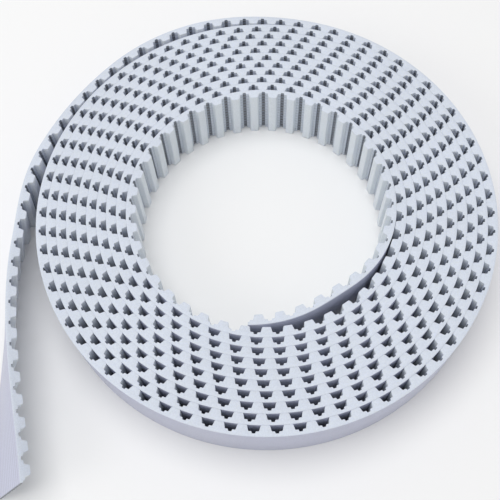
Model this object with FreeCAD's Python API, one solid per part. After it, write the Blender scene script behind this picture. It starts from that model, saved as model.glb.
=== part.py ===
import FreeCAD, Part
import math
import os

from FreeCAD import Vector

os.makedirs("parts", exist_ok=True)

# An open-ended T10 timing belt: white polyurethane moulded round twelve steel tension cords.
# It is stored as a flat spiral roll that lies on one slit edge, teeth inward, roll axis on Z.
# The outer end runs off the roll as a free tail, which twists as it goes, and the inner end
# springs off the innermost wrap. Both loose ends are short sections that hinge at tooth gaps.

# Belt section, metric trapezoidal profile T10
PITCH = 10.0
BELT_WIDTH = 32.0
TOOTH_HEIGHT = 2.5
TOOTH_ROOT_WIDTH = 5.4
FLANK_ANGLE = 15.5
TIP_ROUNDING = 0.7
ROOT_ROUNDING = 0.4
CORD_ABOVE_ROOT = 1.0
BACK_ABOVE_CORD = 1.0
NOTCH_WIDTH = 1.7
NOTCH_DEPTH = 0.5

# Tension cords
CORD_DIAMETER = 0.9
CORD_COUNT = 12
CORD_SPACING = 2.5
CHANNEL_CLEARANCE = 0.02

# Roll
STEP_PER_TURN = 4.75
FIRST_RADIUS = 62.4
SPIRAL_START = -5.0
SPIRAL_TURN = 3679.0

# Loose ends, as tangent arcs (radius, length) of the cord line, each list from the inside outwards.
# The tail's last arc takes up what is left of the belt.
BELT_PITCHES = 600
INNER_END = [(60.0, 33.7), (250.0, 19.2), (50.6, 45.8)]
OUTER_RUN = [(133.7, 37.5), (98.1, 74.5), (154.8, 130.4)]
TAIL_RADIUS = 646.0

# Sections of the loose ends, in pitches, each list from the inside outwards
INNER_SECTIONS = [4, 3, 3]
TAIL_SECTIONS = [2] * 8
HINGE_CLEARANCE = 0.45

# The tail's twist towards its teeth: how far, and the lengths from the roll between which it grows
TWISTS = [(15.0, 0.0, 50.0), (18.0, 70.0, 160.0)]

ROOT_DEPTH = -CORD_ABOVE_ROOT
TIP_DEPTH = ROOT_DEPTH - TOOTH_HEIGHT
FLOOR_DEPTH = ROOT_DEPTH + NOTCH_DEPTH
LOOSE_INNER = sum(INNER_SECTIONS) * PITCH
LOOSE_TAIL = sum(TAIL_SECTIONS) * PITCH
UP = Vector(0, 0, 1)


def unit(angle):
    """The unit vector at that angle, in degrees, in the plane of the roll."""
    return Vector(math.cos(math.radians(angle)), math.sin(math.radians(angle)), 0)


class CordLine:
    """The belt's pitch line in plan: tangent arcs, all bending the same way, from inside to outside.

    Each arc is (start length, centre, radius, start angle, end angle), where the angle is that of
    the outward normal, so it runs on from one arc to the next.
    """

    def __init__(self):
        quarter = STEP_PER_TURN / 4
        radius = FIRST_RADIUS + quarter / 2
        centre = (unit(SPIRAL_START + 90) + unit(SPIRAL_START + 180)) * (quarter / 2)
        spans = [(length / r * 180 / math.pi, r) for r, length in INNER_END]
        angle = SPIRAL_START - sum(turn for turn, r in spans)
        quarters = [(90.0, radius + k * quarter) for k in range(int(SPIRAL_TURN // 90))]
        rest = [(SPIRAL_TURN % 90, radius + len(quarters) * quarter)]
        outer = [(length / r * 180 / math.pi, r) for r, length in OUTER_RUN]
        wound = sum(math.radians(turn) * r for turn, r in spans + quarters + rest + outer)
        outer.append(((BELT_PITCHES * PITCH - wound) / TAIL_RADIUS * 180 / math.pi, TAIL_RADIUS))

        # the inner arcs' centres, worked backwards from the start of the spiral
        centres = [centre]
        back = SPIRAL_START
        outer_radius = radius
        for turn, r in reversed(spans):
            centres.insert(0, centres[0] + unit(back) * (outer_radius - r))
            back -= turn
            outer_radius = r

        self.arcs = []
        centre = centres[0]
        length = 0.0
        last = None
        for turn, r in spans + quarters + rest + outer:
            if last is not None:
                centre = centre + unit(angle) * (last - r)
            self.arcs.append((length, centre, r, angle, angle + turn))
            length += math.radians(turn) * r
            angle += turn
            last = r
        self.length = length

    def arc_at(self, s):
        """The arc that holds the length s."""
        for arc in reversed(self.arcs):
            if s >= arc[0]:
                return arc
        return self.arcs[0]

    def frame(self, s):
        """The point at length s, and the directions along the belt and outwards from it."""
        start, centre, r, a0, a1 = self.arc_at(s)
        angle = a0 + math.degrees((s - start) / r)
        return centre + unit(angle) * r, unit(angle + 90), unit(angle)

    def place(self, s, along, out):
        """A point of the belt's section, from the frame at length s."""
        p, t, n = self.frame(s)
        return p + t * along + n * out

    def arcs_between(self, s0, s1):
        """(centre, radius, start angle, end angle) of each arc between two lengths."""
        found = []
        for start, centre, r, a0, a1 in self.arcs:
            low = max(s0, start)
            high = min(s1, start + math.radians(a1 - a0) * r)
            if high - low > 1e-6:
                first = a0 + math.degrees((low - start) / r)
                found.append((centre, r, first, first + math.degrees((high - low) / r)))
        return found


def rounded(points, radii):
    """Edges through the points, with an arc of the given radius at each corner that has one."""
    edges = []
    here = points[0]
    for before, corner, after, radius in zip(points, points[1:], points[2:], radii[1:]):
        if radius:
            back = (before - corner).normalize()
            on = (after - corner).normalize()
            half = back.getAngle(on) / 2
            reach = radius / math.tan(half)
            middle = (back + on).normalize()
            crown = corner + middle * (radius / math.sin(half) - radius)
            first, last = corner + back * reach, corner + on * reach
            edges.append(Part.LineSegment(here, first).toShape())
            edges.append(Part.Arc(first, crown, last).toShape())
            here = last
        else:
            edges.append(Part.LineSegment(here, corner).toShape())
            here = corner
    edges.append(Part.LineSegment(here, points[-1]).toShape())
    return edges


def toothed_edges(line, s0, s1, gap):
    """The toothed side's edges from one gap centre to another, cut short by the end clearance."""
    half_notch = NOTCH_WIDTH / 2
    half_root = TOOTH_ROOT_WIDTH / 2
    half_tip = half_root - TOOTH_HEIGHT * math.tan(math.radians(FLANK_ANGLE))
    tooth = [
        (-half_root, ROOT_DEPTH, ROOT_ROUNDING),
        (-half_tip, TIP_DEPTH, TIP_ROUNDING),
        (half_tip, TIP_DEPTH, TIP_ROUNDING),
        (half_root, ROOT_DEPTH, ROOT_ROUNDING),
    ]
    points = [(line.place(s0 + gap, 0, FLOOR_DEPTH), 0)]
    points.append((line.place(s0, half_notch, FLOOR_DEPTH), 0))
    points.append((line.place(s0, half_notch, ROOT_DEPTH), 0))
    count = round((s1 - s0) / PITCH)
    for k in range(count):
        middle = s0 + (k + 0.5) * PITCH
        points += [(line.place(middle, x, y), r) for x, y, r in tooth]
        edge = s0 + (k + 1) * PITCH
        points.append((line.place(edge, -half_notch, ROOT_DEPTH), 0))
        points.append((line.place(edge, -half_notch, FLOOR_DEPTH), 0))
        if k < count - 1:
            points.append((line.place(edge, half_notch, FLOOR_DEPTH), 0))
            points.append((line.place(edge, half_notch, ROOT_DEPTH), 0))
    points.append((line.place(s1 - gap, 0, FLOOR_DEPTH), 0))
    return rounded([p for p, r in points], [r for p, r in points])


def arc_edge(centre, radius, a0, a1):
    """A circular arc in plan."""
    ends = [centre + unit(a) * radius for a in (a0, (a0 + a1) / 2, a1)]
    return Part.Arc(*ends).toShape()


def cord_heights():
    """The height of each tension cord above the belt's lower edge."""
    lowest = (BELT_WIDTH - (CORD_COUNT - 1) * CORD_SPACING) / 2
    return [lowest + k * CORD_SPACING for k in range(CORD_COUNT)]


def tube_faces(arcs, height, radius):
    """The round wall of a tube that follows the arcs at that height."""
    faces = []
    for centre, r, a0, a1 in arcs:
        torus = Part.makeTorus(r, radius, Vector(0, 0, 0), UP, -180, 180, a1 - a0)
        wall = max(torus.Faces, key=lambda f: f.Area)
        wall.rotate(Vector(0, 0, 0), UP, a0)
        wall.translate(centre + UP * height)
        faces.append(wall)
    return faces


def disc_wire(line, s, height, radius):
    """A circle round the cord line at length s, square to the belt."""
    p, t, n = line.frame(s)
    circle = Part.makeCircle(radius, p + UP * height, t)
    return Part.Wire([circle])


def closed_solid(faces):
    """A solid from faces that meet edge to edge."""
    shell = Part.makeCompound(faces)
    shell.sewShape()
    solid = Part.Solid(shell.Shells[0] if shell.Shells else Part.Shell(shell.Faces))
    if solid.Volume < 0:
        solid.reverse()
    return solid


def cord_solid(line, s0, s1, height):
    """One steel cord between two lengths."""
    radius = CORD_DIAMETER / 2
    faces = tube_faces(line.arcs_between(s0, s1), height, radius)
    faces += [Part.Face(disc_wire(line, s, height, radius)) for s in (s0, s1)]
    return closed_solid(faces)


def belt_solid(line, s0, s1, gap=0.0):
    """The polyurethane of one stretch, with a channel for each cord, cut at two tooth gaps."""
    low, high = s0 + gap, s1 - gap
    teeth = toothed_edges(line, s0, s1, gap)
    arcs = line.arcs_between(low, high)
    back = [arc_edge(c, r + BACK_ABOVE_CORD, a0, a1) for c, r, a0, a1 in arcs]
    ends = [(line.place(s, 0, FLOOR_DEPTH), line.place(s, 0, BACK_ABOVE_CORD)) for s in (low, high)]
    end_edges = [Part.LineSegment(a, b).toShape() for a, b in ends]
    outline = Part.Wire(Part.__sortEdges__(teeth + back + end_edges))
    bottom = Part.Face(outline)
    top = bottom.translated(UP * BELT_WIDTH)
    faces = [bottom, top] + [e.extrude(UP * BELT_WIDTH) for e in teeth + back]

    channel = CORD_DIAMETER / 2 + CHANNEL_CLEARANCE
    for (a, b), s in zip(ends, (low, high)):
        rim = Part.makePolygon([a, b, b + UP * BELT_WIDTH, a + UP * BELT_WIDTH, a])
        holes = [disc_wire(line, s, h, channel) for h in cord_heights()]
        faces.append(Part.makeFace([rim] + holes, "Part::FaceMakerBullseye"))
    for height in cord_heights():
        faces += tube_faces(arcs, height, channel)
    return closed_solid(faces)


def twist_at(line, s):
    """How far the belt leans towards its teeth at length s, in degrees."""
    from_roll = s - (line.length - LOOSE_TAIL)
    lean = 0.0
    for angle, first, last in TWISTS:
        share = min(1.0, max(0.0, (from_roll - first) / (last - first)))
        lean += angle * share * share * (3 - 2 * share)
    return lean


def middle_height(lean):
    """The height of the belt's middle where its lower, toothed edge rests on the ground."""
    lean = math.radians(lean)
    return BELT_WIDTH / 2 * math.cos(lean) - TIP_DEPTH * math.sin(lean)


def leaned(shape, line, s):
    """The shape of an upright section, leaned as the belt leans at length s."""
    lean = twist_at(line, s)
    p, t, n = line.frame(s)
    shape.rotate(p + UP * BELT_WIDTH / 2, t, -lean)
    shape.translate(UP * (middle_height(lean) - BELT_WIDTH / 2))
    return shape


def export(name, shape):
    shape.exportStep(os.path.join("parts", name + ".step"))


line = CordLine()
roll_starts = LOOSE_INNER
roll_ends = line.length - LOOSE_TAIL


def wrap_cuts():
    """The lengths at which the wound part is cut, at the tooth gap nearest to each full turn."""
    turns = [arc[0] for arc in line.arcs[len(INNER_END) + 4::4]]
    gaps = [round(s / PITCH) * PITCH for s in turns if s < roll_ends - 2 * PITCH]
    return [roll_starts] + gaps + [roll_ends]


def make_roll():
    """The wound part: the polyurethane turn by turn, and each cord in one length."""
    cuts = wrap_cuts()
    for k, (s0, s1) in enumerate(zip(cuts, cuts[1:])):
        export(f"belt_wrap_{k + 1:02d}", belt_solid(line, s0, s1, 0.0))
    for k, height in enumerate(cord_heights()):
        export(f"tension_cord_{k + 1:02d}", cord_solid(line, roll_starts, roll_ends, height))


def make_sections(name, first, sections, lean):
    """The short sections of a loose end, each with its cords."""
    s1 = first
    for k, pitches in enumerate(sections):
        s0, s1 = s1, s1 + pitches * PITCH
        low, high = s0 + HINGE_CLEARANCE, s1 - HINGE_CLEARANCE
        body = belt_solid(line, s0, s1, HINGE_CLEARANCE)
        cords = Part.makeCompound([cord_solid(line, low, high, h) for h in cord_heights()])
        if lean:
            middle = (s0 + s1) / 2
            body = leaned(body, line, middle)
            cords = leaned(cords, line, middle)
        export(f"{name}_{k + 1}", body)
        export(f"{name}_{k + 1}_cords", cords)


make_roll()
make_sections("inner_end_section", 0.0, INNER_SECTIONS, False)
make_sections("tail_section", roll_ends, TAIL_SECTIONS, True)
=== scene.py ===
"""A toothed timing belt in a flat spiral roll: the visual model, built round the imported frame.

The belt is white polyurethane moulded round twelve steel cords. Every piece is first made straight,
as belt coordinates of length along the belt, distance out from the cord line and height over the
lower slit edge, and Geometry Nodes then lay it along the cord line. All lengths are in metres.
"""

import logging
import math
from dataclasses import dataclass, field
from enum import Enum
from typing import Any, Iterator, Sequence

import bmesh
import bpy
import numpy as np
from mathutils import Matrix, Vector


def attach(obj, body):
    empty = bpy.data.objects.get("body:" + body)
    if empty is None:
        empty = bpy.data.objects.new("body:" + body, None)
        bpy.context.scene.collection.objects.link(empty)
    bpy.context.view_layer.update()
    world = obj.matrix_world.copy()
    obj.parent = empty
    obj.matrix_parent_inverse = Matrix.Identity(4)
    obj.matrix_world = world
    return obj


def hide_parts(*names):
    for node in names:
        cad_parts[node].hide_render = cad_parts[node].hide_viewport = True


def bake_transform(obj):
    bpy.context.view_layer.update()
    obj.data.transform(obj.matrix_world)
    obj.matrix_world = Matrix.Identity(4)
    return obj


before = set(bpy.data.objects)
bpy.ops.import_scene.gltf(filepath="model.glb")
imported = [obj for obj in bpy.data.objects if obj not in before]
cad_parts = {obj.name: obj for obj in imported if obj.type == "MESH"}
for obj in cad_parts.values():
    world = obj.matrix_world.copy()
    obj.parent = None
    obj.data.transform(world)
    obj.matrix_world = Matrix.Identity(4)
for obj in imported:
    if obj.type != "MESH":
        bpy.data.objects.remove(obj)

log = logging.getLogger("timing_belt")
MM = 0.001
UP = Vector((0.0, 0.0, 1.0))
WHITE = (1.0, 1.0, 1.0, 1.0)
SAME_PLACE = 1e-9
MERGE_WITHIN = 0.01 * MM
WANDERS_PER_METRE = 9.0
CORD_SHARP = math.radians(60.0)


# ---------------------------------------------------------------- the belt's sizes and its line


class Slot(Enum):
    """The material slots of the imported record."""

    POLYURETHANE = "polyurethane"
    STEEL_CORD = "steel_cord"


@dataclass(frozen=True)
class BeltProfile:
    """The T10 section: sizes of one tooth and of the gap that it shares with the next one."""

    pitch: float = 10.0 * MM
    width: float = 32.0 * MM
    tooth_height: float = 2.5 * MM
    tooth_root_width: float = 5.4 * MM
    flank_angle: float = math.radians(15.5)
    cord_above_root: float = 1.09 * MM
    back_above_cord: float = 1.13 * MM
    notch_width: float = 1.9 * MM
    notch_floor_width: float = 1.4 * MM
    notch_floor: float = -0.22 * MM
    tip_rounding: float = 0.6 * MM
    root_rounding: float = 0.45 * MM
    notch_rounding: float = 0.22 * MM
    slit_rounding: float = 0.05 * MM
    back_steps: int = 8

    @property
    def root(self) -> float:
        """Where the tooth gap's land is, out from the cord line."""
        return -self.cord_above_root

    @property
    def tip(self) -> float:
        """Where the tooth's flat tip is, out from the cord line."""
        return self.root - self.tooth_height

    def toothed_side(self) -> list[Vector]:
        """The toothed side of one pitch, from gap centre to gap centre.

        Returns:
            Points (along, out), with an arc at every corner.
        """
        half = self.pitch / 2
        notch, floor = self.notch_width / 2, self.notch_floor_width / 2
        foot = self.tooth_root_width / 2
        crown = foot - self.tooth_height * math.tan(self.flank_angle)
        left = [
            (-half, self.notch_floor, 0.0),
            (-half + floor, self.notch_floor, self.notch_rounding),
            (-half + notch, self.root, self.notch_rounding),
            (-foot, self.root, self.root_rounding),
            (-crown, self.tip, self.tip_rounding),
        ]
        right = [(-x, y, r) for x, y, r in reversed(left)]
        return rounded(left + right)

    def back_side(self) -> list[Vector]:
        """The smooth back of one pitch, from the far end to the near one.

        Returns:
            Points (along, out), close enough together to bend with the belt.
        """
        xs = np.linspace(self.pitch / 2, -self.pitch / 2, self.back_steps + 1)
        return [Vector((float(x), self.back_above_cord)) for x in xs]


@dataclass(frozen=True)
class CordPack:
    """The twelve stranded tension cords, side by side across the belt."""

    count: int = 12
    diameter: float = 0.9 * MM
    spacing: float = 2.5 * MM
    sides: int = 10
    step: float = 2.5 * MM
    proud: float = 0.06 * MM

    def heights(self, width: float) -> list[float]:
        """The height of each cord over the lower slit edge of a belt of that width.

        Args:
            width: The belt's width.

        Returns:
            One height for each cord, from the lowest up.
        """
        lowest = (width - (self.count - 1) * self.spacing) / 2
        return [lowest + k * self.spacing for k in range(self.count)]


@dataclass(frozen=True)
class Arc:
    """One arc of the cord line. Its angles are those of the outward normal, in radians."""

    start: float
    centre: Vector
    radius: float
    low: float
    high: float


@dataclass
class CordLine:
    """The belt's pitch line in plan, as tangent arcs that all bend the same way, from inside out.

    The wound part is a four-centre spiral. The loose inner end lies inside its first turn, and the
    outer run eases off its last one and becomes the tail.
    """

    pitches: int = 600
    pitch: float = 10.0 * MM
    step_per_turn: float = 4.75 * MM
    first_radius: float = 62.4 * MM
    spiral_start: float = math.radians(-5.0)
    spiral_turn: float = math.radians(3679.0)
    inner_end: Sequence[tuple[float, float]] = ((60.0, 33.7), (250.0, 19.2), (50.6, 45.8))
    outer_run: Sequence[tuple[float, float]] = ((133.7, 37.5), (98.1, 74.5), (154.8, 130.4))
    tail_radius: float = 646.0 * MM
    overrun: float = 2.0 * MM
    arcs: list[Arc] = field(default_factory=list)

    def __post_init__(self) -> None:
        """Works the arcs out from the driving sizes."""
        quarter = self.step_per_turn / 4
        radius = self.first_radius + quarter / 2
        right = math.pi / 2
        inner = [(length / r, r * MM) for r, length in self.inner_end]
        full = int(self.spiral_turn // right)
        wound = [(right, radius + k * quarter) for k in range(full)]
        wound.append((self.spiral_turn - full * right, radius + full * quarter))
        wound += [(length / r, r * MM) for r, length in self.outer_run]
        used = sum(turn * r for turn, r in inner + wound)
        wound.append(((self.length - used) / self.tail_radius, self.tail_radius))

        angle = self.spiral_start - sum(turn for turn, r in inner)
        centre = (heading(self.spiral_start + right) + heading(self.spiral_start + math.pi))
        centre = centre * (quarter / 2)
        back, outer_radius = self.spiral_start, radius
        for turn, r in reversed(inner):
            centre = centre + heading(back) * (outer_radius - r)
            back, outer_radius = back - turn, r

        start, last = 0.0, inner[0][1]
        for turn, r in inner + wound:
            centre = centre + heading(angle) * (last - r)
            self.arcs.append(Arc(start, centre, r, angle, angle + turn))
            start, angle, last = start + turn * r, angle + turn, r

    @property
    def length(self) -> float:
        """The whole belt's length at the cord line."""
        return self.pitches * self.pitch

    def normal_angle(self, s: float) -> tuple[Arc, float]:
        """The arc at length s and the outward normal's angle there.

        Args:
            s: The length along the belt.

        Returns:
            The arc, and the angle in radians.
        """
        arc = next((a for a in reversed(self.arcs) if s >= a.start), self.arcs[0])
        return arc, arc.low + (s - arc.start) / arc.radius

    def point(self, s: float, height: float = 0.0) -> Vector:
        """The point of the cord line at length s, at that height.

        Args:
            s: The length along the belt.
            height: The height over the floor.

        Returns:
            The point.
        """
        arc, angle = self.normal_angle(s)
        return arc.centre + heading(angle) * arc.radius + UP * height

    def turn_cuts(self, first: float, last: float) -> list[float]:
        """The lengths at which the wound part is cut, at the tooth gap nearest to each full turn.

        Args:
            first: Where the wound part starts.
            last: Where it ends.

        Returns:
            The lengths, with both ends of the wound part.
        """
        turns = [arc.start for arc in self.arcs[len(self.inner_end) + 4 :: 4]]
        gaps = [round(s / self.pitch) * self.pitch for s in turns if s < last - 2 * self.pitch]
        return [first, *gaps, last]

    def curve(self, spacing: float = 1.0 * MM) -> bpy.types.Object:
        """The cord line as a curve object for Geometry Nodes, run on a little past both ends.

        Args:
            spacing: The distance between the curve's points.

        Returns:
            A curve object, which is removed again once the pieces are made.
        """
        count = round((self.length + 2 * self.overrun) / spacing) + 1
        spots = np.linspace(-self.overrun, self.length + self.overrun, count)
        places = np.ones((count, 4), np.float32)
        for k, s in enumerate(spots):
            places[k, :3] = self.point(float(s))
        data = bpy.data.curves.new("cord_line", "CURVE")
        data.dimensions = "3D"
        spline = data.splines.new("POLY")
        spline.points.add(count - 1)
        spline.points.foreach_set("co", places.ravel())
        return linked(bpy.data.objects.new("cord_line", data))


@dataclass(frozen=True)
class Lean:
    """How the tail twists: upright where it leaves the roll, then leaning towards its teeth.

    Each stage is (angle in degrees, first length, last length), the lengths past the roll's end.
    """

    stages: Sequence[tuple[float, float, float]] = ((15.0, 0.0, 50.0), (18.0, 70.0, 160.0))


def heading(angle: float) -> Vector:
    """The unit vector at that angle in the plane of the roll.

    Args:
        angle: The angle in radians.

    Returns:
        The vector.
    """
    return Vector((math.cos(angle), math.sin(angle), 0.0))


def rounded(corners: Sequence[tuple[float, float, float]], steps: int = 4) -> list[Vector]:
    """A polyline with an arc at each corner.

    Args:
        corners: (x, y, radius) of each corner. The first and last are kept as they are.
        steps: How many straight steps stand for one arc.

    Returns:
        The points of the rounded line.
    """
    points = [Vector(corners[0][:2])]
    for before, corner, after in zip(corners, corners[1:], corners[2:]):
        here = Vector(corner[:2])
        back = (Vector(before[:2]) - here).normalized()
        onward = (Vector(after[:2]) - here).normalized()
        half = back.angle(onward) / 2
        middle = (back + onward).normalized()
        centre = here + middle * (corner[2] / math.sin(half))
        first = here + back * (corner[2] / math.tan(half)) - centre
        last = here + onward * (corner[2] / math.tan(half)) - centre
        low = math.atan2(first.y, first.x)
        turn = math.remainder(math.atan2(last.y, last.x) - low, 2 * math.pi)
        for k in range(steps + 1):
            points.append(centre + heading(low + turn * k / steps).xy * corner[2])
    points.append(Vector(corners[-1][:2]))
    return points


def linked(obj: bpy.types.Object) -> bpy.types.Object:
    """The object, put in the scene's collection.

    Args:
        obj: The object.

    Returns:
        The same object.
    """
    bpy.context.scene.collection.objects.link(obj)
    return obj


# ---------------------------------------------------------------- node trees


class Graph:
    """A node tree under construction, geometry or shader, with short ways to add and join nodes."""

    def __init__(self, tree: bpy.types.NodeTree) -> None:
        self.tree = tree

    def add(self, kind: str, *feeds: Any, **settings: Any) -> bpy.types.Node:
        """A node of that kind.

        Args:
            kind: The node's type name.
            feeds: Values or sockets for its first inputs, in order. None leaves one as it is.
            settings: Node properties, and after a trailing underscore inputs by their name.

        Returns:
            The new node.
        """
        node = self.tree.nodes.new(kind)
        for name, value in settings.items():
            if not name.endswith("_"):
                setattr(node, name, value)
        for socket, value in zip([s for s in node.inputs if s.enabled], feeds):
            self.feed(socket, value)
        for name, value in settings.items():
            if name.endswith("_"):
                wanted = name[:-1].replace("_", " ").lower()
                socket = next(s for s in node.inputs if s.enabled and s.name.lower() == wanted)
                self.feed(socket, value)
        return node

    def feed(self, socket: bpy.types.NodeSocket, value: Any) -> None:
        """Gives a socket a value, or links it to a socket or to a node's first output."""
        if value is None:
            return
        if isinstance(value, bpy.types.Node):
            value = next(s for s in value.outputs if s.enabled)
        if isinstance(value, bpy.types.NodeSocket):
            self.tree.links.new(value, socket)
        else:
            socket.default_value = value

    def math(self, operation: str, *feeds: Any) -> bpy.types.Node:
        """A Math node."""
        return self.add("ShaderNodeMath", *feeds, operation=operation)

    def vector(self, operation: str, *feeds: Any) -> bpy.types.Node:
        """A Vector Math node."""
        return self.add("ShaderNodeVectorMath", *feeds, operation=operation)

    def ramp(self, value: Any, low: Any, high: Any, first: Any = 0.0, last: Any = 1.0) -> bpy.types.Node:
        """A value that goes smoothly from first to last as another goes from low to high.

        Args:
            value: The other value.
            low: Where the change starts.
            high: Where it ends.
            first: The result at low.
            last: The result at high.

        Returns:
            The Map Range node.
        """
        feeds = (value, low, high, first, last)
        return self.add("ShaderNodeMapRange", *feeds, interpolation_type="SMOOTHSTEP")

    def mix(self, factor: Any, a: Any, b: Any) -> bpy.types.NodeSocket:
        """A colour between two.

        Args:
            factor: Nought for the first and one for the second.
            a: The first colour.
            b: The second colour.

        Returns:
            The colour socket.
        """
        node = self.add("ShaderNodeMix", data_type="RGBA")
        self.feed(node.inputs["Factor"], factor)
        a_socket, b_socket = (s for s in node.inputs if s.enabled and s.name in "AB")
        self.feed(a_socket, a)
        self.feed(b_socket, b)
        return next(s for s in node.outputs if s.enabled)

    def scaled(self, direction: Any, amount: Any) -> bpy.types.Node:
        """A vector times a number."""
        node = self.add("ShaderNodeVectorMath", operation="SCALE")
        self.feed(node.inputs["Vector"], direction)
        self.feed(node.inputs["Scale"], amount)
        return node

    def row(self, count: Any, start: Sequence[Any], offset: Sequence[Any]) -> bpy.types.Node:
        """A row of points.

        Args:
            count: How many points.
            start: The first point's x, y and z.
            offset: The x, y and z from each point to the next.

        Returns:
            The node that makes the row.
        """
        node = self.add("GeometryNodeMeshLine", mode="OFFSET")
        self.feed(node.inputs["Count"], count)
        self.feed(node.inputs["Start Location"], self.add("ShaderNodeCombineXYZ", *start))
        self.feed(node.inputs["Offset"], self.add("ShaderNodeCombineXYZ", *offset))
        return node


class SocketKind(Enum):
    """The kinds of input that the belt's node groups take."""

    GEOMETRY = "NodeSocketGeometry"
    NUMBER = "NodeSocketFloat"
    COUNT = "NodeSocketInt"
    OBJECT = "NodeSocketObject"
    MATERIAL = "NodeSocketMaterial"


def new_group(name: str, inputs: dict[str, SocketKind]) -> tuple[Graph, bpy.types.Node, bpy.types.Node]:
    """A geometry node group with named inputs and a geometry output.

    Args:
        name: The group's name.
        inputs: The name and kind of each input.

    Returns:
        The graph, its input node and its output node.
    """
    tree = bpy.data.node_groups.new(name, "GeometryNodeTree")
    for label, kind in inputs.items():
        tree.interface.new_socket(label, in_out="INPUT", socket_type=kind.value)
    tree.interface.new_socket("Geometry", in_out="OUTPUT", socket_type=SocketKind.GEOMETRY.value)
    graph = Graph(tree)
    return graph, graph.add("NodeGroupInput"), graph.add("NodeGroupOutput")


LAY_INPUTS = {
    "Cord Line": SocketKind.OBJECT,
    "Overrun": SocketKind.NUMBER,
    "Belt Width": SocketKind.NUMBER,
    "Tip Depth": SocketKind.NUMBER,
    "Lean 1": SocketKind.NUMBER,
    "Lean 1 Start": SocketKind.NUMBER,
    "Lean 1 End": SocketKind.NUMBER,
    "Lean 2": SocketKind.NUMBER,
    "Lean 2 Start": SocketKind.NUMBER,
    "Lean 2 End": SocketKind.NUMBER,
    "Edge Wander": SocketKind.NUMBER,
}


def lay_group() -> bpy.types.NodeTree:
    """The group that lays straight belt geometry along the cord line.

    A point's x is its length along the belt, y how far out from the cord line it is, and z its
    height over the lower slit edge. The belt leans where the tail twists, with its lower toothed
    edge staying on the ground, and its slit edges wander up by a hair, as in a hand-wound roll.
    """
    g, inp, out = new_group("lay_on_cord_line", {"Geometry": SocketKind.GEOMETRY, **LAY_INPUTS})
    place = g.add("ShaderNodeSeparateXYZ", g.add("GeometryNodeInputPosition"))
    s, outward, height = place.outputs

    line = g.add("GeometryNodeObjectInfo", transform_space="ORIGINAL")
    g.feed(line.inputs["Object"], inp.outputs["Cord Line"])
    sample = g.add("GeometryNodeSampleCurve", mode="LENGTH", use_all_curves=False)
    g.feed(sample.inputs["Curves"], line.outputs["Geometry"])
    g.feed(sample.inputs["Length"], g.math("ADD", s, inp.outputs["Overrun"]))
    tangent = sample.outputs["Tangent"]
    up = g.add("ShaderNodeCombineXYZ", 0.0, 0.0, 1.0)
    normal = g.vector("CROSS_PRODUCT", tangent, up)

    stages = [
        g.ramp(s, inp.outputs[f"{k} Start"], inp.outputs[f"{k} End"], 0.0, inp.outputs[k])
        for k in ("Lean 1", "Lean 2")
    ]
    lean = g.math("ADD", *stages)
    sine, cosine = g.math("SINE", lean), g.math("COSINE", lean)
    width_way = g.vector("SUBTRACT", g.scaled(up, cosine), g.scaled(normal, sine))
    out_way = g.vector("ADD", g.scaled(normal, cosine), g.scaled(up, sine))
    half = g.math("MULTIPLY", inp.outputs["Belt Width"], 0.5)
    middle = g.math(
        "SUBTRACT", g.math("MULTIPLY", half, cosine), g.math("MULTIPLY", inp.outputs["Tip Depth"], sine)
    )
    wander = g.add(
        "ShaderNodeTexNoise", noise_dimensions="1D", W_=s, Scale_=WANDERS_PER_METRE, Detail_=2.0
    )
    lift = g.math("MULTIPLY", wander.outputs[0], inp.outputs["Edge Wander"])
    middle = g.math("ADD", middle, lift)

    point = g.vector("ADD", sample.outputs["Position"], g.scaled(out_way, outward))
    across = g.math("SUBTRACT", height, half)
    point = g.vector("ADD", point, g.scaled(width_way, across))
    point = g.vector("ADD", point, g.scaled(up, middle))
    laid = g.add("GeometryNodeSetPosition")
    g.feed(laid.inputs["Geometry"], inp.outputs["Geometry"])
    g.feed(laid.inputs["Position"], point)
    g.feed(out.inputs[0], laid)
    return g.tree


def finish_group(
    g: Graph, inp: bpy.types.Node, out: bpy.types.Node, lay: bpy.types.NodeTree, made: Any
) -> None:
    """Ends a tree: the straight geometry, already kept as an attribute, is laid, realized and given its
    material.

    Args:
        g: The graph to end.
        inp: Its input node.
        out: Its output node.
        lay: The group that lays geometry on the cord line.
        made: The straight geometry's socket or node.
    """
    group = g.add("GeometryNodeGroup", node_tree=lay)
    g.feed(group.inputs["Geometry"], made)
    for label in LAY_INPUTS:
        g.feed(group.inputs[label], inp.outputs[label])
    realized = g.add("GeometryNodeRealizeInstances", group)
    painted = g.add("GeometryNodeSetMaterial")
    g.feed(painted.inputs["Geometry"], realized)
    g.feed(painted.inputs["Material"], inp.outputs["Material"])
    g.feed(out.inputs[0], painted)


def stored(g: Graph, geometry: Any, name: str, value: Any) -> bpy.types.Node:
    """A vector attribute on the geometry's points.

    Args:
        g: The graph.
        geometry: The geometry that gets it.
        name: The attribute's name.
        value: The socket or node that gives it.

    Returns:
        The storing node.
    """
    node = g.add("GeometryNodeStoreNamedAttribute", data_type="FLOAT_VECTOR", domain="POINT")
    g.feed(node.inputs["Geometry"], geometry)
    g.feed(node.inputs["Name"], name)
    g.feed(node.inputs["Value"], value)
    return node


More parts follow.
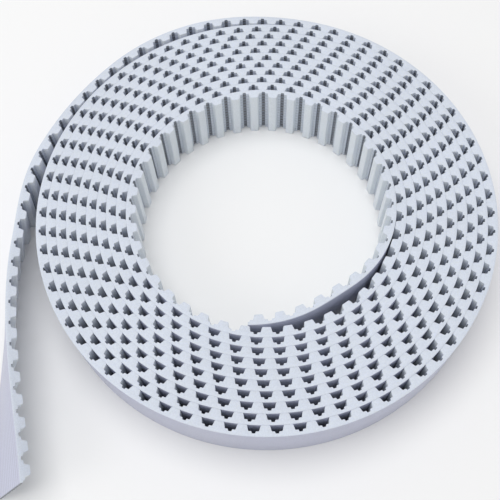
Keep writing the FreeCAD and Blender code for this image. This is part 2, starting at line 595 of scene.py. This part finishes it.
def belt_tree(lay: bpy.types.NodeTree) -> bpy.types.NodeTree:
    """The tree that sets one tooth side by side along a stretch of the belt, and lays the stretch."""
    inputs = {
        "Tooth": SocketKind.OBJECT,
        "Teeth": SocketKind.COUNT,
        "Pitch": SocketKind.NUMBER,
        "First Gap": SocketKind.NUMBER,
        **LAY_INPUTS,
        "Material": SocketKind.MATERIAL,
    }
    g, inp, out = new_group("belt_stretch", inputs)
    first = g.math("ADD", inp.outputs["First Gap"], g.math("MULTIPLY", inp.outputs["Pitch"], 0.5))
    row = g.row(inp.outputs["Teeth"], (first, 0.0, 0.0), (inp.outputs["Pitch"], 0.0, 0.0))
    tooth = g.add("GeometryNodeObjectInfo", transform_space="ORIGINAL")
    g.feed(tooth.inputs["Object"], inp.outputs["Tooth"])
    teeth = g.add("GeometryNodeInstanceOnPoints")
    g.feed(teeth.inputs["Points"], row)
    g.feed(teeth.inputs["Instance"], tooth.outputs["Geometry"])
    joined = g.add("GeometryNodeMergeByDistance", g.add("GeometryNodeRealizeInstances", teeth))
    g.feed(joined.inputs["Distance"], MERGE_WITHIN)
    kept = stored(g, joined, "belt_place", g.add("GeometryNodeInputPosition"))
    finish_group(g, inp, out, lay, kept)
    return g.tree


def cord_tree(lay: bpy.types.NodeTree) -> bpy.types.NodeTree:
    """The tree that runs one or more round cords along a stretch of the belt, and lays them."""
    inputs = {
        "Cords": SocketKind.COUNT,
        "Lowest": SocketKind.NUMBER,
        "Spacing": SocketKind.NUMBER,
        "Radius": SocketKind.NUMBER,
        "Sides": SocketKind.COUNT,
        "Steps": SocketKind.COUNT,
        "Start": SocketKind.NUMBER,
        "Step": SocketKind.NUMBER,
        **LAY_INPUTS,
        "Material": SocketKind.MATERIAL,
    }
    g, inp, out = new_group("cord_stretch", inputs)
    start, step = inp.outputs["Start"], inp.outputs["Step"]
    run = g.row(inp.outputs["Steps"], (start, 0.0, 0.0), (step, 0.0, 0.0))
    ring = g.add("GeometryNodeCurvePrimitiveCircle", mode="RADIUS")
    g.feed(ring.inputs["Resolution"], inp.outputs["Sides"])
    g.feed(ring.inputs["Radius"], inp.outputs["Radius"])
    tube = g.add("GeometryNodeCurveToMesh")
    g.feed(tube.inputs["Curve"], g.add("GeometryNodeMeshToCurve", run))
    g.feed(tube.inputs["Profile Curve"], ring)
    g.feed(tube.inputs["Fill Caps"], True)
    kept = stored(g, tube, "cord_place", g.add("GeometryNodeInputPosition"))
    lowest, spacing = inp.outputs["Lowest"], inp.outputs["Spacing"]
    row = g.row(inp.outputs["Cords"], (0.0, 0.0, lowest), (0.0, 0.0, spacing))
    cords = g.add("GeometryNodeInstanceOnPoints")
    g.feed(cords.inputs["Points"], row)
    g.feed(cords.inputs["Instance"], kept)
    finish_group(g, inp, out, lay, g.add("GeometryNodeRealizeInstances", cords))
    return g.tree


def grown(name: str, tree: bpy.types.NodeTree, values: dict[str, Any]) -> bpy.types.Object:
    """A plain mesh object made by a geometry node tree.

    Args:
        name: The piece's name.
        tree: The tree that makes it.
        values: The value of each of the tree's inputs, by name.

    Returns:
        The object, at the origin, with no modifier left.
    """
    obj = linked(bpy.data.objects.new(name, bpy.data.meshes.new(name + "_seed")))
    modifier = obj.modifiers.new("laid", "NODES")
    modifier.node_group = tree
    for item in tree.interface.items_tree:
        if item.in_out == "INPUT":
            modifier[item.identifier] = values[item.name]
    depsgraph = bpy.context.evaluated_depsgraph_get()
    plain = bpy.data.meshes.new_from_object(obj.evaluated_get(depsgraph), depsgraph=depsgraph)
    obj.modifiers.clear()
    seed, obj.data = obj.data, plain
    plain.name = name
    bpy.data.meshes.remove(seed)
    return obj


def closed(obj: bpy.types.Object, sharp: float = math.radians(40.0)) -> None:
    """Closes a piece's open ends, points its faces outwards and smooths it.

    Args:
        obj: The piece.
        sharp: Edges that turn by more than this stay sharp.
    """
    bm = bmesh.new()
    bm.from_mesh(obj.data)
    rims = [e for e in bm.edges if e.is_boundary]
    bmesh.ops.holes_fill(bm, edges=rims, sides=0)
    bmesh.ops.recalc_face_normals(bm, faces=bm.faces)
    bm.to_mesh(obj.data)
    bm.free()
    obj.data.shade_smooth()
    obj.data.set_sharp_from_angle(angle=sharp)


# ---------------------------------------------------------------- finishes


@dataclass(frozen=True)
class PolyurethaneFinish:
    """White, slightly translucent polyurethane: satin where moulded, fine-grained where slit, with painted
    shade on the back wall.

    The steel shows through it a little, most where the cords lie close under the surface. The land and
    notch of each tooth gap are also painted darker, as painted shade in the gaps.
    """

    width: float
    cords: CordPack
    tooth: tuple[float, float, float] = (0.78, 0.83, 0.88)
    # Painted shade: land and notch are darker copies of the tooth colour, standing in for the shade in the
    # tooth gaps; partly also the steel cords showing through there.
    land: tuple[float, float, float] = (0.58, 0.63, 0.71)
    notch: tuple[float, float, float] = (0.24, 0.27, 0.32)
    # Painted shade: the back wall is a darker, bluer copy of the tooth colour, as if turned from the light.
    back: tuple[float, float, float] = (0.57, 0.59, 0.73)
    slit: tuple[float, float, float] = (0.65, 0.70, 0.79)
    roughness: float = 0.42
    subsurface: float = 0.15
    reach: float = 0.9 * MM
    ghost: float = 0.14
    streaks: tuple[float, float, float] = (18.0, 700.0, 1400.0)
    land_band: tuple[float, float] = (-1.6 * MM, -1.1 * MM)
    notch_shade_band: tuple[float, float] = (-0.95 * MM, -0.5 * MM)
    back_shade_band: tuple[float, float] = (0.7 * MM, 1.0 * MM)
    slit_band: tuple[float, float] = (0.10 * MM, 0.03 * MM)
    cord_band: tuple[float, float] = (-0.2, 0.9)
    mottle_band: tuple[float, float] = (0.3, 0.7)
    cloud_scale: float = 22.0
    cloud_shades: tuple[float, float] = (0.97, 1.02)
    grain_scale: float = 1700.0
    grain_shades: tuple[float, float] = (0.94, 1.04)
    grain_strengths: tuple[float, float] = (0.12, 0.4)
    grain_depth: float = 0.05 * MM
    streak_strength: float = 0.25
    streak_depth: float = 0.04 * MM
    smoother: float = 0.05
    rougher: float = 0.06
    slit_roughness: float = 0.15
    ior: float = 1.5
    subsurface_radius: tuple[float, float, float] = (1.0, 0.95, 0.75)

    def material(self) -> bpy.types.Material:
        """The finish as a node material."""
        mat, g, shader = new_material("white_polyurethane")
        place = g.add("ShaderNodeTexCoord").outputs["Object"]
        belt = g.add("ShaderNodeAttribute", attribute_name="belt_place").outputs["Vector"]
        s, outward, height = g.add("ShaderNodeSeparateXYZ", belt).outputs

        slit = self.slit_mask(g, height)
        # Painted shade in the tooth gaps: the land, and deeper in the notch, get darker colours; the land
        # mask also places the cords' show-through.
        low = g.ramp(outward, *self.land_band)
        # Painted shade on the back wall.
        back_shade_mask = g.ramp(outward, *self.back_shade_band)
        notch_shade_mask = g.ramp(outward, *self.notch_shade_band)
        colour = g.mix(low, (*self.tooth, 1.0), (*self.land, 1.0))
        colour = g.mix(notch_shade_mask, colour, (*self.notch, 1.0))
        colour = g.mix(back_shade_mask, colour, (*self.back, 1.0))
        colour = g.scaled(colour, self.ghost_of_cords(g, height, low))
        colour = g.mix(slit, colour, (*self.slit, 1.0))

        cloud = g.add("ShaderNodeTexNoise", place, Scale_=self.cloud_scale, Detail_=3.0)
        grain = g.add(
            "ShaderNodeTexNoise", place, Scale_=self.grain_scale, Detail_=3.0, Roughness_=0.65
        )
        streaky = g.vector("MULTIPLY", belt, self.streaks)
        streak = g.add("ShaderNodeTexNoise", streaky, Scale_=1.0, Detail_=2.0)
        shade = g.ramp(cloud.outputs["Fac"], *self.mottle_band, *self.cloud_shades)
        speck = g.ramp(grain.outputs["Fac"], *self.mottle_band, *self.grain_shades)
        g.feed(shader.inputs["Base Color"], g.scaled(g.scaled(colour, shade), speck))

        shines = (self.roughness - self.smoother, self.roughness + self.rougher)
        shine = g.ramp(cloud.outputs["Fac"], *self.mottle_band, *shines)
        slit_extra = g.math("MULTIPLY", slit, self.slit_roughness)
        g.feed(shader.inputs["Roughness"], g.math("ADD", shine, slit_extra))
        rough = g.ramp(slit, 0.0, 1.0, *self.grain_strengths)
        grained = {"Strength_": rough, "Distance_": self.grain_depth, "Height_": grain.outputs["Fac"]}
        bump = g.add("ShaderNodeBump", **grained)
        lined = {"Strength_": self.streak_strength, "Distance_": self.streak_depth}
        lines = g.add("ShaderNodeBump", **lined, Height_=streak.outputs["Fac"])
        g.feed(lines.inputs["Normal"], bump)
        g.feed(shader.inputs["Normal"], lines)
        shader.inputs["IOR"].default_value = self.ior
        shader.inputs["Subsurface Weight"].default_value = self.subsurface
        shader.inputs["Subsurface Radius"].default_value = self.subsurface_radius
        shader.inputs["Subsurface Scale"].default_value = self.reach
        return mat

    def slit_mask(self, g: Graph, height: Any) -> bpy.types.Node:
        """One on the two slit edges of the belt and nought between them.

        Args:
            g: The material's graph.
            height: The height over the lower slit edge.

        Returns:
            The mask's node.
        """
        across = g.math("ABSOLUTE", g.math("SUBTRACT", height, self.width / 2))
        low, high = self.slit_band
        return g.ramp(across, self.width / 2 - low, self.width / 2 - high)

    def ghost_of_cords(self, g: Graph, height: Any, near: Any) -> bpy.types.Node:
        """A factor that darkens the surface over each cord.

        Args:
            g: The material's graph.
            height: The height over the lower slit edge.
            near: One where the surface is close to the cords.

        Returns:
            The factor's node.
        """
        lowest = self.cords.heights(self.width)[0]
        turn = g.math("MULTIPLY", g.math("SUBTRACT", height, lowest), 2 * math.pi / self.cords.spacing)
        over = g.ramp(g.math("COSINE", turn), *self.cord_band)
        return g.math("SUBTRACT", 1.0, g.math("MULTIPLY", g.math("MULTIPLY", over, near), self.ghost))


@dataclass(frozen=True)
class SteelCordFinish:
    """Zinc-plated steel wire, stranded: six wires in a long right-hand lay, with painted shade in the
    furrows between them.
    """

    base: tuple[float, float, float] = (0.24, 0.24, 0.25)
    # Painted shade: the near-black colour of the furrows between the wires.
    furrow_shade: tuple[float, float, float] = (0.07, 0.07, 0.075)
    roughness: float = 0.38
    wires: int = 6
    lay_length: float = 7.0 * MM
    metallic: float = 0.9
    strand_strength: float = 0.8
    strand_depth: float = 0.12 * MM

    def material(self) -> bpy.types.Material:
        """The finish as a node material."""
        mat, g, shader = new_material("stranded_steel")
        place = g.add("ShaderNodeAttribute", attribute_name="cord_place").outputs["Vector"]
        s, y, z = g.add("ShaderNodeSeparateXYZ", place).outputs
        around = g.math("MULTIPLY", g.math("ARCTAN2", y, z), float(self.wires))
        along = g.math("MULTIPLY", s, 2 * math.pi * self.wires / self.lay_length)
        half_turn = g.math("MULTIPLY", g.math("ADD", around, along), 0.5)
        wave = g.math("ABSOLUTE", g.math("COSINE", half_turn))
        # Painted shade in the furrows between the wires, where the wave is low.
        g.feed(shader.inputs["Base Color"], g.mix(wave, (*self.furrow_shade, 1.0), (*self.base, 1.0)))
        depth = self.strand_depth
        bump = g.add("ShaderNodeBump", Strength_=self.strand_strength, Distance_=depth, Height_=wave)
        g.feed(shader.inputs["Normal"], bump)
        shader.inputs["Metallic"].default_value = self.metallic
        shader.inputs["Roughness"].default_value = self.roughness
        return mat


@dataclass(frozen=True)
class FloorFinish:
    """A plain pale studio floor."""

    base: tuple[float, float, float] = (0.93, 0.93, 0.93)
    roughness: float = 0.7
    specular: float = 0.1

    def material(self) -> bpy.types.Material:
        """The finish as a node material."""
        mat, _, shader = new_material("pale_floor")
        shader.inputs["Base Color"].default_value = (*self.base, 1.0)
        shader.inputs["Roughness"].default_value = self.roughness
        shader.inputs["Specular IOR Level"].default_value = self.specular
        return mat


def new_material(name: str) -> tuple[bpy.types.Material, Graph, bpy.types.Node]:
    """A node material with one Principled shader.

    Args:
        name: The material's name.

    Returns:
        The material, its graph, and the shader node.
    """
    mat = bpy.data.materials.new(name)
    mat.use_nodes = True
    mat.node_tree.nodes.clear()
    graph = Graph(mat.node_tree)
    shader = graph.add("ShaderNodeBsdfPrincipled")
    output = graph.add("ShaderNodeOutputMaterial")
    graph.tree.links.new(shader.outputs[0], output.inputs["Surface"])
    return mat, graph, shader


# ---------------------------------------------------------------- the belt's sub-assemblies


@dataclass(frozen=True)
class Ride:
    """What a piece rides on: one body, or two with a hinge between them at a length."""

    body: str
    onto: str | None = None
    hinge: float = 0.0


@dataclass
class BeltShop:
    """Makes stretches of belt and cord: holds the section, the line, the trees and the finishes."""

    profile: BeltProfile
    cords: CordPack
    line: CordLine
    lean: Lean
    tail_length: float
    edge_wander: float = 0.22 * MM
    bend_reach: float = 8.5 * MM
    helpers: list[bpy.types.Object] = field(default_factory=list)

    def __post_init__(self) -> None:
        """Builds the shared objects, node trees and materials."""
        self.path = self.line.curve()
        self.tooth = self.tooth_object()
        self.helpers += [self.path, self.tooth]
        lay = lay_group()
        self.belt_tree = belt_tree(lay)
        self.cord_tree = cord_tree(lay)
        self.polyurethane = PolyurethaneFinish(self.profile.width, self.cords).material()
        self.steel = SteelCordFinish().material()

    def tooth_object(self) -> bpy.types.Object:
        """One pitch of belt, straight, open where it meets its neighbours.

        Returns:
            A mesh object: the side walls with rounded slit edges, and the two slit faces.
        """
        p = self.profile
        outline = p.toothed_side() + p.back_side()
        drop = p.slit_rounding * (1 - math.sqrt(0.5))
        inset = inset_outline(outline, p.slit_rounding, p.pitch / 2)
        soft = inset_outline(outline, drop, p.pitch / 2)
        levels = [
            (inset, 0.0),
            (soft, drop),
            (outline, p.slit_rounding),
            (outline, p.width - p.slit_rounding),
            (soft, p.width - drop),
            (inset, p.width),
        ]
        bm = bmesh.new()
        rings = [[bm.verts.new((x, y, z)) for x, y in points] for points, z in levels]
        toothed = len(p.toothed_side())
        count = len(outline)
        for low, high in zip(rings, rings[1:]):
            for k in range(count - 1):
                if k != toothed - 1:
                    bm.faces.new((low[k], low[k + 1], high[k + 1], high[k]))
        bm.faces.new(reversed(rings[0]))
        bm.faces.new(rings[-1])
        mesh = bpy.data.meshes.new("tooth")
        bm.to_mesh(mesh)
        bm.free()
        return linked(bpy.data.objects.new("tooth", mesh))

    def lay_values(self) -> dict[str, Any]:
        """The values that every laid piece shares."""
        values = {
            "Cord Line": self.path,
            "Overrun": self.line.overrun,
            "Belt Width": self.profile.width,
            "Tip Depth": self.profile.tip,
            "Edge Wander": self.edge_wander,
        }
        leaves = self.line.length - self.tail_length
        for k, (angle, first, last) in enumerate(self.lean.stages, start=1):
            values[f"Lean {k}"] = math.radians(angle)
            values[f"Lean {k} Start"] = leaves + first * MM
            values[f"Lean {k} End"] = leaves + last * MM
        return values

    def belt(self, name: str, low: float, high: float, ride: Ride, nodes: Sequence[str]) -> None:
        """A stretch of polyurethane between two tooth gaps.

        Args:
            name: The piece's name.
            low: The length where it starts.
            high: The length where it ends.
            ride: What it rides on.
            nodes: The CAD nodes that it stands for.
        """
        values = {
            "Tooth": self.tooth,
            "Teeth": round((high - low) / self.profile.pitch),
            "Pitch": self.profile.pitch,
            "First Gap": low,
            "Material": self.polyurethane,
            **self.lay_values(),
        }
        piece = grown(name, self.belt_tree, values)
        closed(piece)
        self.mount(piece, ride, nodes)

    def cord(
        self, name: str, low: float, high: float, ride: Ride, nodes: Sequence[str], heights: Sequence[float]
    ) -> None:
        """One or more steel cords between two lengths.

        Args:
            name: The piece's name.
            low: The length where they start.
            high: The length where they end.
            ride: What they ride on.
            nodes: The CAD nodes that they stand for.
            heights: The height of each cord.
        """
        steps = max(2, round((high - low) / self.cords.step) + 1)
        values = {
            "Cords": len(heights),
            "Lowest": heights[0],
            "Spacing": self.cords.spacing,
            "Radius": self.cords.diameter / 2,
            "Sides": self.cords.sides,
            "Steps": steps,
            "Start": low,
            "Step": (high - low) / (steps - 1),
            "Material": self.steel,
            **self.lay_values(),
        }
        piece = grown(name, self.cord_tree, values)
        closed(piece, sharp=CORD_SHARP)
        self.mount(piece, ride, nodes)

    def mount(self, piece: bpy.types.Object, ride: Ride, nodes: Sequence[str]) -> None:
        """Puts a finished piece on its body, or on none when it rides on two, and hides the CAD nodes that
        it stands for.

        Args:
            piece: The piece.
            ride: What it rides on.
            nodes: The CAD nodes that it stands for.
        """
        if ride.onto is None:
            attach(piece, ride.body)
        else:
            height = self.profile.width / 2
            start = self.line.point(ride.hinge - self.bend_reach, height)
            end = self.line.point(ride.hinge + self.bend_reach, height)
            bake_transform(piece)
        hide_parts(*nodes)
        log.info("%s: %d faces, on %s", piece.name, len(piece.data.polygons), ride)

    def clear_up(self) -> None:
        """Removes the objects that only the node trees needed."""
        for obj in self.helpers:
            bpy.data.objects.remove(obj)


def inset_outline(points: Sequence[Vector], depth: float, half: float) -> list[Vector]:
    """The outline of one pitch moved inwards, with its open ends kept on the pitch's own bounds.

    Args:
        points: The outline, counter-clockwise round the material or clockwise, closed by its ends.
        depth: How far in.
        half: Half a pitch.

    Returns:
        The moved points.
    """
    count = len(points)
    area = sum(a.cross(b) for a, b in zip(points, [*points[1:], points[0]]))
    side = 1.0 if area > 0 else -1.0
    moved = []
    for k, here in enumerate(points):
        before, after = points[k - 1], points[(k + 1) % count]
        ways = []
        for a, b in ((before, here), (here, after)):
            if abs(abs(a.x) - half) > SAME_PLACE or abs(a.x - b.x) > SAME_PLACE:
                step = (b - a).normalized()
                ways.append(Vector((-step.y, step.x)) * side)
        way = sum(ways, Vector((0.0, 0.0))).normalized()
        stretch = 1.0 / max(0.5, way.dot(ways[0]))
        spot = here + way * depth * stretch
        if abs(abs(here.x) - half) < SAME_PLACE:
            spot.x = here.x
        moved.append(spot)
    return moved


@dataclass
class WoundRoll:
    """The wound part of the belt: its turns, and each cord in one length through them all."""

    shop: BeltShop
    first: float
    last: float
    overlap: float

    def build(self) -> None:
        """Makes every turn and every cord."""
        cuts = self.shop.line.turn_cuts(self.first, self.last)
        ends = [self.first + self.overlap, *cuts[1:-1], self.last - self.overlap]
        for k, (low, high) in enumerate(zip(ends, ends[1:]), start=1):
            self.shop.belt(f"belt_turn_{k:02d}", low, high, Ride("roll"), [f"belt_wrap_{k:02d}"])
        for k, height in enumerate(self.shop.cords.heights(self.shop.profile.width), start=1):
            nodes = [f"tension_cord_{k:02d}"]
            self.shop.cord(f"cord_{k:02d}", ends[0], ends[-1], Ride("roll"), nodes, [height])


class End(Enum):
    """The two loose ends of the belt, by the name of their sections."""

    INNER = "inner_end_section"
    TAIL = "tail_section"

    @property
    def pitches(self) -> tuple[int, ...]:
        """The pitches in each of its sections, from the inside outwards."""
        return (4, 3, 3) if self is End.INNER else (2,) * 8


@dataclass
class LooseEnd:
    """A loose end: a piece of belt and its cords across each hinge, the last one up to the cut end."""

    shop: BeltShop
    end: End
    start: float
    overlap: float

    def spans(self) -> Iterator[tuple[int, float, float, Ride]]:
        """Each piece's number, the lengths where it starts and ends, and what it rides on."""
        pitch = self.shop.profile.pitch
        counts = self.end.pitches
        ends = [self.start + sum(counts[:k]) * pitch for k in range(len(counts) + 1)]
        middles = [low + round(n / 2) * pitch for low, n in zip(ends, counts)]
        names = [f"{self.end.value}_{k}" for k in range(1, len(ends))]
        if self.end is End.TAIL:
            cuts = [ends[0] - self.overlap, *middles[:-1], ends[-1]]
            bodies, hinges = ["roll", *names], ends[:-1]
        else:
            cuts = [ends[0], *middles[1:], ends[-1] + self.overlap]
            bodies, hinges = [*names, "roll"], ends[1:]
        for k, hinge in enumerate(hinges):
            yield k + 1, cuts[k], cuts[k + 1], Ride(bodies[k], bodies[k + 1], hinge)

    def build(self) -> None:
        """Makes every piece of the end."""
        heights = self.shop.cords.heights(self.shop.profile.width)
        proud = self.shop.cords.proud
        for k, low, high, ride in self.spans():
            node = f"{self.end.value}_{k}"
            self.shop.belt(f"{self.end.name.lower()}_belt_{k}", low, high, ride, [node])
            start = low - proud if low == 0.0 else low
            stop = high + proud if high >= self.shop.line.length else high
            name = f"{self.end.name.lower()}_cords_{k}"
            self.shop.cord(name, start, stop, ride, [node + "_cords"], heights)


# ---------------------------------------------------------------- the studio


@dataclass(frozen=True)
class Lamp:
    """A round area lamp that faces the origin. Its size is in metres and its power in watts."""

    name: str
    place: tuple[float, float, float]
    size: float
    power: float


@dataclass(frozen=True)
class Studio:
    """A pale floor, soft light from above and a camera over the roll's near side."""

    elevation: float = math.radians(62.95)
    distance: float = 378.1 * MM
    target: tuple[float, float, float] = (-6.39 * MM, 1.10 * MM, 32.0 * MM)
    roll: float = -0.0377
    sensor: float = 36.0
    lens: float = 56.71
    shift_y: float = -0.1
    floor_size: float = 6.0
    sky: float = 0.55
    clip: tuple[float, float] = (0.01, 20.0)
    lamps: tuple[Lamp, ...] = (
        Lamp("top_lamp", (-0.15, 0.1, 1.3), 1.0, 8.0),
        Lamp("left_lamp", (-1.2, -0.5, 1.0), 0.8, 2.5),
    )

    def camera(self) -> None:
        """The camera, looking along +Y and down at the roll."""
        data = bpy.data.cameras.new("camera")
        data.sensor_width = self.sensor
        data.lens = self.lens
        data.shift_y = self.shift_y
        data.clip_start, data.clip_end = self.clip
        cam = linked(bpy.data.objects.new("camera", data))
        c, s = math.cos(self.elevation), math.sin(self.elevation)
        back = Vector((0.0, -c, s))
        right, up = Vector((1.0, 0.0, 0.0)), Vector((0.0, s, c))
        cr, sr = math.cos(self.roll), math.sin(self.roll)
        across, above = right * cr + up * sr, up * cr - right * sr
        place = Vector(self.target) + back * self.distance
        rows = zip(across, above, back, place)
        cam.matrix_world = Matrix([*[list(row) for row in rows], [0.0, 0.0, 0.0, 1.0]])
        bpy.context.scene.camera = cam

    def lights(self) -> None:
        """A soft sky, and the lamps."""
        world = bpy.data.worlds.new("sky")
        world.use_nodes = True
        background = world.node_tree.nodes["Background"]
        background.inputs["Color"].default_value = WHITE
        background.inputs["Strength"].default_value = self.sky
        bpy.context.scene.world = world
        for lamp in self.lamps:
            data = bpy.data.lights.new(lamp.name, "AREA")
            data.shape = "DISK"
            data.size = lamp.size
            data.energy = lamp.power
            obj = linked(bpy.data.objects.new(lamp.name, data))
            obj.location = lamp.place
            obj.rotation_mode = "QUATERNION"
            obj.rotation_quaternion = Vector(lamp.place).to_track_quat("Z", "Y")

    def floor(self) -> None:
        """The floor that the roll lies on."""
        half = self.floor_size / 2
        mesh = bpy.data.meshes.new("floor")
        corners = [(-half, -half, 0.0), (half, -half, 0.0), (half, half, 0.0), (-half, half, 0.0)]
        mesh.from_pydata(corners, [], [(0, 1, 2, 3)])
        mesh.materials.append(FloorFinish().material())
        linked(bpy.data.objects.new("floor", mesh))

    def build(self) -> None:
        """Sets the whole studio up."""
        self.camera()
        self.lights()
        self.floor()
        bpy.context.scene.view_settings.view_transform = "Standard"


def main() -> None:
    """Builds the belt from the inside out, then the studio."""
    logging.basicConfig(level=logging.INFO, format="%(name)s: %(message)s")
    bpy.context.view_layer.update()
    profile, line = BeltProfile(), CordLine()
    inner, tail = (sum(end.pitches) * profile.pitch for end in (End.INNER, End.TAIL))
    shop = BeltShop(profile, CordPack(), line, Lean(), tail)
    WoundRoll(shop, inner, line.length - tail, profile.pitch).build()
    LooseEnd(shop, End.INNER, 0.0, profile.pitch).build()
    LooseEnd(shop, End.TAIL, line.length - tail, profile.pitch).build()
    shop.clear_up()
    Studio().build()


if __name__ == "__main__":
    main()
